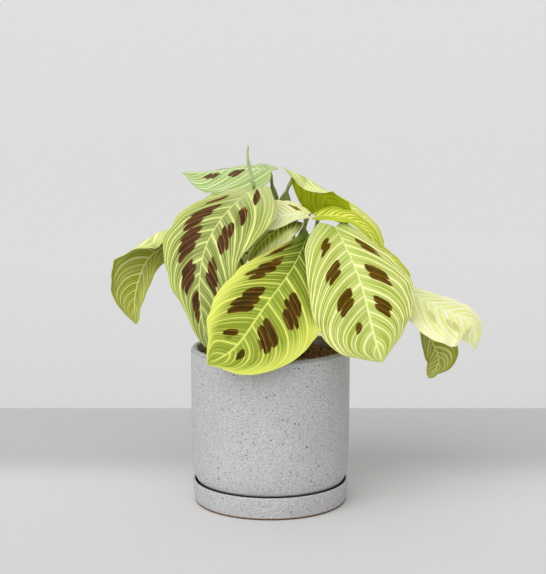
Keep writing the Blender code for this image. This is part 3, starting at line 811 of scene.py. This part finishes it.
def ringTube(name, centres, ways, sides, outline, look, sharp):
    # a closed tube whose ring k is outline(k, turn) -> (across, over) in millimetres
    points, faces, side = [], [], np.array((1.0, 0.0, 0.0))
    for k, (centre, along) in enumerate(zip(centres, ways)):
        side = unit(side - along * np.dot(side, along))
        other = np.cross(along, side)
        for j in range(sides):
            x, y = outline(k, 2 * math.pi * j / sides)
            points.append(centre + x * side + y * other)
    last = (len(centres) - 1) * sides
    for low in range(0, last, sides):
        for j in range(sides):
            a, b = low + j, low + (j + 1) % sides
            faces.append((a, b, b + sides, a + sides))
    faces.append(tuple(reversed(range(sides))))
    faces.append(tuple(range(last, last + sides)))
    return addMesh(name, points, faces, look, sharp)


def makePetiole(name, handles, look, wing=0.0):
    make = stalkMake
    start, first, second, end = handles
    shares = [k / (make["rings"] - 1) for k in range(make["rings"])]
    centres = [bezier(start, first, second, end, t) for t in shares]
    centres = [start - np.array((0, 0, make["intoSoil"]))] + centres
    centres.append(end + unit(end - centres[-2]) * make["intoBlade"])
    shares = [0.0] + shares + [1.0]
    last = len(centres) - 1
    ways = [unit(centres[min(k + 1, last)] - centres[max(k - 1, 0)]) for k in range(last + 1)]

    def outline(k, turn):
        t = shares[k]
        radius = petioleRadiusAt(t)
        wide = radius + wing * max(1 - ((t - make["wingPlace"]) / make["wingSpan"])**2, 0)
        ridge = 1 + make["ridgeShare"] * math.cos(make["ridges"] * turn)
        return wide * ridge * math.cos(turn), radius * ridge * math.sin(turn)

    made = ringTube("stem_" + name, centres, ways, make["sides"], outline, look, 70)
    markPoints(made.data, "height", np.repeat(shares, make["sides"]))
    settle(made, "petiole_green", "petiole_" + name)


def stalkMaterial():
    made, tree, shader = newMaterial("petiole_skin", 0.42)
    make, height = stalkMake, attributeOf(tree, "height")
    streaks = uprightStreaks(tree, *make["streaks"])
    colour = blend(ease(height, *make["footSpan"]), make["foot"], make["skin"])
    colour = blend(ease(height, *make["topSpan"]), colour, make["top"])
    colour = blend(ease(streaks, 0.35, 0.75, 0.0, 0.6), colour, make["streak"])
    feed(shader.inputs["Base Color"], colour)
    bump(shader, streaks, make["relief"], 0.5)
    glowThrough(shader, *make["glow"])
    return made


def makeSpike(look):
    # a leaf still rolled round itself, with the free edge winding up it
    make = spikeMake
    curve = evenCurve(make["rib"])
    length = curve[1][-1]
    shares = [k / make["rings"] for k in range(make["rings"] + 1)]
    centres = [pointAlong(curve, length * t) for t in shares]
    ways = [unit(pointAlong(curve, length * min(t + 0.02, 1))
                 - pointAlong(curve, length * max(t - 0.02, 0))) for t in shares]

    def outline(k, turn):
        t = shares[k]
        taper = make["base"] + (make["tip"] - make["base"]) * t
        if t > make["point"]:
            taper *= 1 - make["closing"] * ((t - make["point"]) / (1 - make["point"]))**2
        lap = (turn / (2 * math.pi) + make["wraps"] * t) % 1.0
        radius = taper * (make["inner"] + make["lapRise"] * lap)
        return radius * math.cos(turn), radius * math.sin(turn)

    made = ringTube("rolled_leaf", centres, ways, make["sides"], outline, look, 60)
    settle(made, "young_leaf_green", "new_leaf")


def spikeMaterial():
    made, tree, shader = newMaterial("rolled_leaf_skin", 0.45)
    make, streaks = spikeMake, uprightStreaks(tree, *spikeMake["streaks"])
    feed(shader.inputs["Base Color"], blend(ease(streaks, 0.3, 0.7), make["dark"], make["light"]))
    bump(shader, streaks, make["relief"], 0.5)
    glowThrough(shader, *make["glow"])
    return made


def makeStems():
    look = stalkMaterial()
    for name, spec in blades.items():
        makePetiole(name, petioleRoute(spec), look, spec.get("wing", 0.0))
    end = np.array(spikeMake["rib"][0], float) - np.array((0, 0, 2 * gap))
    start = np.array((*spikeMake["root"], soilTop + 2 * gap), float)
    pull = np.array((0, 0, spikeMake["pull"] * (end[2] - start[2])))
    makePetiole("new_leaf", (start, start + pull, end - pull, end), look)
    makeSpike(spikeMaterial())
    print("stems made:", len(blades) + 1)


# Radii and heights of the turned pieces in millimetres. Shoulder, waist and wall foot are
# points of their outlines.
potMake = dict(
    steps=192, sharp=40,
    flat=40.0, corner=30.0, shoulder=59.4, waist=(59.9, 60.0),
    outerLip=2.2, innerLip=1.4,
    wall=5.0, floor=5.7, innerTaper=0.4, drain=6.0,
)

saucerMake = dict(
    foot=57.3, footRound=(0.7, 0.9), waist=(58.7, 6.8), lip=1.1,
    floor=4.0, wellRound=3.0, wallFoot=8.5, innerTaper=0.4,
)

glazeMake = dict(
    body=((194, 194, 195), (200, 200, 200)), grain=(158, 158, 159),
    # specks: cells to the metre, size and share of the cells, and how dark
    specks=((720.0, 0.38, 0.75, 0.6), (340.0, 0.26, 0.13, 0.95)), speck=(70, 66, 64),
    clouds=(30.0, 4.0, 0.55), grainNoise=(1100.0, 3.0), relief=0.00012,
    clay=(130, 86, 50), clayFrom=1.2, clayTo=1.8,
    # the painted shadow line under the overhanging rim, by where it starts and where it is full, from
    # below and above
    rimShadow=(112, 112, 112), rimShadowFoot=(-2.3, -1.5), rimShadowTop=(-0.4, -0.9),
    # painted shade for the gap between pot and saucer
    gapShade=(52, 50, 48),
)


def lathe(name, profile, look):
    # spin a closed outline of (radius, height) in millimetres about the Z axis
    work = bmesh.new()
    rim = [work.verts.new((r * mm, 0.0, z * mm)) for r, z in profile]
    edges = [work.edges.new((a, b)) for a, b in zip(rim, rim[1:] + rim[:1])
             if not (a.co.x == 0 and b.co.x == 0)]
    bmesh.ops.spin(work, geom=rim + edges, cent=(0, 0, 0), axis=(0, 0, 1),
                   angle=2 * math.pi, steps=potMake["steps"], use_duplicate=False)
    bmesh.ops.remove_doubles(work, verts=work.verts, dist=1e-6)
    return finishMesh(name, work, look, potMake["sharp"])


def arc(centreR, centreZ, radiusR, radiusZ, fromDegrees, toDegrees, count):
    step = (toDegrees - fromDegrees) / count
    turns = [math.radians(fromDegrees + step * k) for k in range(count + 1)]
    return [(centreR + radiusR * math.cos(t), centreZ + radiusZ * math.sin(t)) for t in turns]


def saucerProfile():
    make, box = saucerMake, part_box("saucer")
    radius, height = box[1][0] / mm, box[1][2] / mm
    lip, well, floor = make["lip"], make["wellRound"], make["floor"]
    inner = radius - 2 * lip
    footWide, footHigh = make["footRound"]
    outline = [(0.0, 0.0), (make["foot"] - footWide - 0.1, 0.0)]
    outline += arc(make["foot"] - footWide, footHigh, footWide, footHigh, -80, 0, 5)
    outline += [make["waist"]]
    outline += arc(radius - lip, height - lip, lip, lip, 0, 180, 16)
    outline += [(inner - make["innerTaper"], make["wallFoot"])]
    outline += arc(inner - make["innerTaper"] - well, floor + well, well, well, 0, -90, 8)
    outline += [(0.0, floor)]
    return outline


def potProfile():
    make, box = potMake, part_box("pot")
    radius, top, base = box[1][0] / mm, box[1][2] / mm, box[0][2] / mm
    flat, outer, inner = make["flat"], make["outerLip"], make["innerLip"]
    corner, floor = base + make["corner"], base + make["floor"]
    inside = radius - make["wall"]
    outline = [(make["drain"], base)]
    outline += arc(flat, corner, make["shoulder"] - flat, make["corner"], -90, 0, 28)
    outline += [make["waist"]]
    outline += arc(radius - outer, top - outer, outer, outer, 0, 90, 12)
    outline += arc(inside + inner, top - inner, inner, inner, 90, 180, 10)
    outline += [(inside, make["waist"][1])]
    outline += arc(flat, corner, inside - flat - make["innerTaper"], corner - floor, 0, -90, 16)
    outline += [(make["drain"], floor)]
    return outline


def stonewareMaterial(name, innerWall, gapShadeRise):
    made, tree, shader = newMaterial(name, 0.5, 0.4)
    make, place = glazeMake, objectPlace(tree)
    clouds = noiseOf(place, *make["clouds"])
    grain = noiseOf(place, *make["grainNoise"])
    colour = blend(ease(clouds, 0.3, 0.7), *make["body"])
    colour = blend(ease(grain, 0.4, 0.62, 0.0, 0.7), colour, make["grain"])

    dark = 0.0
    for scale, size, share, strength in make["specks"]:
        # one dark speck in a share of the cells
        inputs = {"Scale": scale, "Randomness": 0.8, "Vector": place}
        cells = nodeOf("ShaderNodeTexVoronoi", tree, inputs).outputs
        pick = split(Wire(cells["Color"]), "ShaderNodeSeparateColor")
        radius = pick[1] * (size * 0.7) + size * 0.5
        speck = ease(Wire(cells["Distance"]), radius, radius * 0.5) * calc("LESS_THAN", pick[0], share)
        dark = highest(dark, speck * strength)
    colour = blend(dark, colour, make["speck"])

    # bare clay at the foot, and a painted shadow line under the overhanging rim
    x, y, height = split(place)
    bare = ease(height, make["clayTo"] * mm, make["clayFrom"] * mm)
    colour = blend(bare, colour, make["clay"])
    rim, lower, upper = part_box("pot")[1][2], make["rimShadowFoot"], make["rimShadowTop"]
    line = (ease(height, rim + lower[0] * mm, rim + lower[1] * mm)
            * ease(height, rim + upper[0] * mm, rim + upper[1] * mm))
    colour = blend(line * 0.4, colour, make["rimShadow"])
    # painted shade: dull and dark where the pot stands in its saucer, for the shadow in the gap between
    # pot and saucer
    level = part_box("saucer")[1][2]
    wall = ease(calc("SQRT", x * x + y * y), innerWall * mm, (innerWall - 0.5) * mm)
    gapShade = wall * ease(height, level + gapShadeRise * mm, level)
    feed(shader.inputs["Base Color"], blend(gapShade, colour, make["gapShade"]))
    feed(shader.inputs["Roughness"], highest(clouds * 0.16 + 0.42, bare * 0.9))
    bump(shader, grain - dark * 0.6, make["relief"], 0.5)
    return made


def makePot():
    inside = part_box("saucer")[1][0] / mm - 2 * saucerMake["lip"]
    everywhere = 100.0  # a radius beyond the pot
    glaze = stonewareMaterial("pot_glaze", everywhere, 2.0)
    settle(lathe("glazed_pot", potProfile(), glaze), "speckled_stoneware", "pot")
    glaze = stonewareMaterial("saucer_glaze", inside + saucerMake["innerTaper"], 0.2)
    settle(lathe("glazed_saucer", saucerProfile(), glaze), "speckled_stoneware", "saucer")
    print("pot and saucer made")


soilMake = dict(
    rings=46, steps=150, depth=8.0, roughness=0.66, roughScale=0.35,
    sink=0.4, fall=1.2,
    mix=((176, 130, 96), (62, 42, 30), (216, 176, 140)),  # light, dark, grains
    bark=((216, 160, 122), (118, 80, 58), (238, 200, 164)),
    # noise: scale, detail and roughness
    clumps=(420.0, 4.0, 0.65), grains=(1500.0, 3.0), relief=0.0006,
    # count to the square metre, smallest and largest in millimetres, and seed
    crumbs=(420000.0, 0.4, 1.3, 5), chips=(110000.0, 0.5, 1.8, 9),
)


def soilSurface(look):
    # a shallow uneven disc, closed underneath
    make, radius = soilMake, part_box("soil")[1][0] / mm
    rings, steps = make["rings"], make["steps"]
    turns = [2 * math.pi * j / steps for j in range(steps)]
    points = [(0, 0, soilTop)]
    for k in range(1, rings + 1):
        r = radius * k / rings
        for turn in turns:
            x, y = r * math.cos(turn), r * math.sin(turn)
            rough = noise.fractal(Vector((x, y, 3)) * make["roughScale"], 0.8, 2.0, 4)
            fall = make["fall"] * (r / radius)**3
            points.append((x, y, soilTop - make["sink"] - fall + rough * make["roughness"]))
    low = len(points)
    rim = low - steps
    points += [(radius * math.cos(t), radius * math.sin(t), soilTop - make["depth"]) for t in turns]
    pairs = [(j, (j + 1) % steps) for j in range(steps)]
    faces = [(0, 1 + a, 1 + b) for a, b in pairs]
    for ring in range(1, rim, steps):
        faces += [(ring + a, ring + steps + a, ring + steps + b, ring + b) for a, b in pairs]
    faces += [(rim + a, low + a, low + b, rim + b) for a, b in pairs]
    faces.append(tuple(low + j for j in reversed(range(steps))))
    return addMesh("soil_bed", points, faces, look, 60)


def soilMaterial(name, light, dark, chip):
    made, tree, shader = newMaterial(name, 0.9, 0.25)
    place = objectPlace(tree)
    clumps = noiseOf(place, *soilMake["clumps"])
    grains = noiseOf(place, *soilMake["grains"])
    colour = blend(ease(clumps, 0.4, 0.6), dark, light)
    feed(shader.inputs["Base Color"], blend(ease(grains, 0.5, 0.75, 0.0, 0.7), colour, chip))
    bump(shader, grains, soilMake["relief"], 0.8)
    return made


def crumbTree(look):
    # scatters rough chips over the soil: small, turned every way
    tree = bpy.data.node_groups.new("scatterCrumbs", "GeometryNodeTree")
    face = tree.interface
    face.new_socket("Geometry", in_out="INPUT", socket_type="NodeSocketGeometry")
    for name, kind, value in (("Count per square metre", "NodeSocketFloat", 300000.0),
                              ("Smallest", "NodeSocketFloat", 0.0005),
                              ("Largest", "NodeSocketFloat", 0.0015),
                              ("Seed", "NodeSocketInt", 1)):
        face.new_socket(name, in_out="INPUT", socket_type=kind).default_value = value
    face.new_socket("Geometry", in_out="OUTPUT", socket_type="NodeSocketGeometry")
    given = tree.nodes.new("NodeGroupInput").outputs

    def new(kind, inputs, **settings):
        return Wire(nodeOf(kind, tree, inputs, **settings).outputs[0])

    upwards = split(new("GeometryNodeInputNormal", {}))[2]
    points = new("GeometryNodeDistributePointsOnFaces", {
        "Mesh": Wire(given["Geometry"]), "Density": Wire(given["Count per square metre"]),
        "Seed": Wire(given["Seed"]), "Selection": new("FunctionNodeCompare", {0: upwards, 1: 0.5})})
    low, high = [new("ShaderNodeCombineXYZ", dict.fromkeys(range(3), Wire(given[name])))
                 for name in ("Smallest", "Largest")]
    copies = new("GeometryNodeInstanceOnPoints", {
        "Points": points,
        "Instance": new("GeometryNodeMeshIcoSphere", {"Radius": 1.0, "Subdivisions": 1}),
        "Rotation": new("FunctionNodeRandomValue", {"Max": (6.28, 6.28, 6.28)}, data_type="FLOAT_VECTOR"),
        "Scale": new("FunctionNodeRandomValue", {"Min": low, "Max": high}, data_type="FLOAT_VECTOR")})
    real = new("GeometryNodeRealizeInstances", {0: copies})
    painted = new("GeometryNodeSetMaterial", {"Geometry": real, "Material": look})
    end = tree.nodes.new("NodeGroupOutput")
    feed(end.inputs[0], painted)
    return tree


def scatterCrumbs(name, bed, look, density, smallest, largest, seed):
    carrier = addObject(name + "_carrier", bed.data)
    maker = carrier.modifiers.new("scatter", "NODES")
    maker.node_group = crumbTree(look)
    wanted = {"Count per square metre": density, "Smallest": smallest * mm, "Largest": largest * mm,
              "Seed": seed}
    for item in maker.node_group.interface.items_tree:
        if item.in_out == "INPUT" and item.name in wanted:
            maker[item.identifier] = wanted[item.name]
    bpy.context.view_layer.update()
    shown = carrier.evaluated_get(bpy.context.evaluated_depsgraph_get())
    mesh = bpy.data.meshes.new_from_object(shown)
    bpy.data.objects.remove(carrier)
    print(name, "faces:", len(mesh.polygons))
    return addObject(name, mesh)


def makeSoil():
    mix = soilMaterial("moist_mix", *soilMake["mix"])
    bark = soilMaterial("bark_chips", *soilMake["bark"])
    bed = soilSurface(mix)
    crumbs = scatterCrumbs("soil_crumbs", bed, mix, *soilMake["crumbs"])
    chips = scatterCrumbs("bark_chips", bed, bark, *soilMake["chips"])
    for piece in (bed, crumbs, chips):
        settle(piece, "potting_mix", "soil")
    print("soil made")


stageMake = dict(
    half=3.0, tableEnd=0.293, wallAt=1.4, wallFoot=-1.0, height=3.0,
    tableFront=(217, 217, 217), tableBack=(192, 192, 191), wall=(226, 226, 226),
    shadeFrom=0.03, shadeTo=0.13,  # where painted shade darkens the table towards the back
)


def tableMaterial():
    made, tree, shader = newMaterial("pale_table", 0.75, 0.25)
    make, y = stageMake, split(objectPlace(tree))[1]
    feed(shader.inputs["Base Color"],
         blend(ease(y, make["shadeFrom"], make["shadeTo"]), make["tableFront"], make["tableBack"]))
    return made


def wallMaterial():
    made, tree, shader = newMaterial("pale_wall", 0.8, 0.2)
    shader.inputs["Base Color"].default_value = lightOf(stageMake["wall"])
    return made


def sheet(name, corners, look):
    mesh = bpy.data.meshes.new(name)
    mesh.from_pydata(corners, [], [(0, 1, 2, 3)])
    made = addObject(name, mesh, look)


def makeStage():
    wide, end, far = stageMake["half"], stageMake["tableEnd"], stageMake["wallAt"]
    foot, high = stageMake["wallFoot"], stageMake["height"]
    sheet("floor", ((-wide, -wide, 0), (wide, -wide, 0), (wide, end, 0), (-wide, end, 0)),
          tableMaterial())
    sheet("backdrop", ((-wide, far, foot), (wide, far, foot), (wide, far, high), (-wide, far, high)),
          wallMaterial())
    print("floor and backdrop made")


# Degrees to the right of the front and above the floor, spread in degrees, and strength.
lightMake = dict(
    room=0.44,
    key=(-45, 35, 60, 1.15), front=(-10, 30, 80, 1.05), overhead=(20, 82, 60, 0.3),
)


def farLight(name, azimuth, elevation, spread, strength):
    turn, lift = math.radians(azimuth), math.radians(elevation)
    way = Vector((math.sin(turn) * math.cos(lift), -math.cos(turn) * math.cos(lift), math.sin(lift)))
    lamp = bpy.data.lights.new(name, "SUN")
    lamp.energy = strength
    lamp.angle = math.radians(spread)
    made = addObject(name, lamp)
    made.location = way * 2
    made.rotation_euler = way.to_track_quat("Z", "Y").to_euler()


def makeLight():
    world = bpy.data.worlds.new("softRoom")
    world.use_nodes = True
    world.node_tree.nodes["Background"].inputs[0].default_value = (1.0, 1.0, 1.0, 1.0)
    world.node_tree.nodes["Background"].inputs[1].default_value = lightMake["room"]
    bpy.context.scene.world = world
    for name in ("key", "front", "overhead"):
        farLight(name, *lightMake[name])
    print("light made")


cameraMake = dict(place=(0.00195, -1.0763, 0.3285), tilt=81.285, lens=90.94, sensor=36)


def makeCamera():
    eye = bpy.data.cameras.new("eye")
    eye.sensor_width = cameraMake["sensor"]
    eye.lens = cameraMake["lens"]
    made = addObject("eye", eye)
    made.location = cameraMake["place"]
    made.rotation_euler = (math.radians(cameraMake["tilt"]), 0, 0)
    bpy.context.scene.camera = made
    bpy.context.scene.view_settings.view_transform = "Standard"
    print("camera made")


makeCamera()
makeStage()
makeLight()
makePot()
makeSoil()
makeStems()
makeLeaves()
